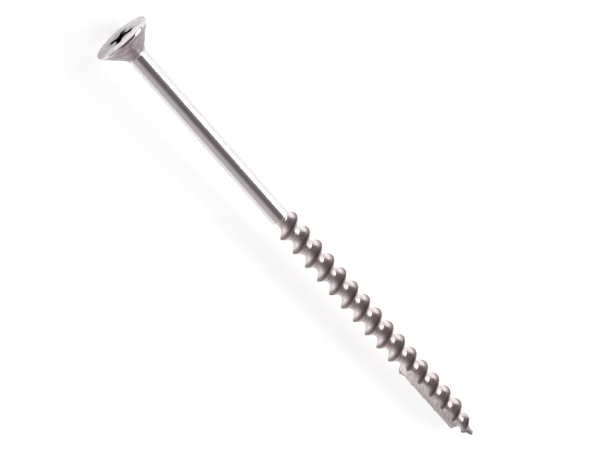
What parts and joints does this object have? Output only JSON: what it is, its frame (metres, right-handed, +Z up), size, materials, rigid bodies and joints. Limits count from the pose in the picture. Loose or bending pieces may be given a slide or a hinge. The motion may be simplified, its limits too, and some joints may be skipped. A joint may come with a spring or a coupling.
{
  "type": "deck screw",
  "caption": "Countersunk stainless deck screw with a plain shank, a coarse right-hand thread and a fluted self-drilling point, lying on its side.",
  "frame": {"origin": "centre of the bounding box on the ground plane, with the screw lying on its head's rim and the last full crest of its thread", "axes": "+X along the screw from the head towards the tip, sloping down by 1.62 degrees, +Z up"},
  "size_m": [0.089, 0.009, 0.0091],
  "materials": {
    "stainless": "bright rolled stainless steel, drawn smooth along the shank"
  },
  "bodies": {
    "root": {"deck_screw": "stainless"}
  },
  "joints": []
}
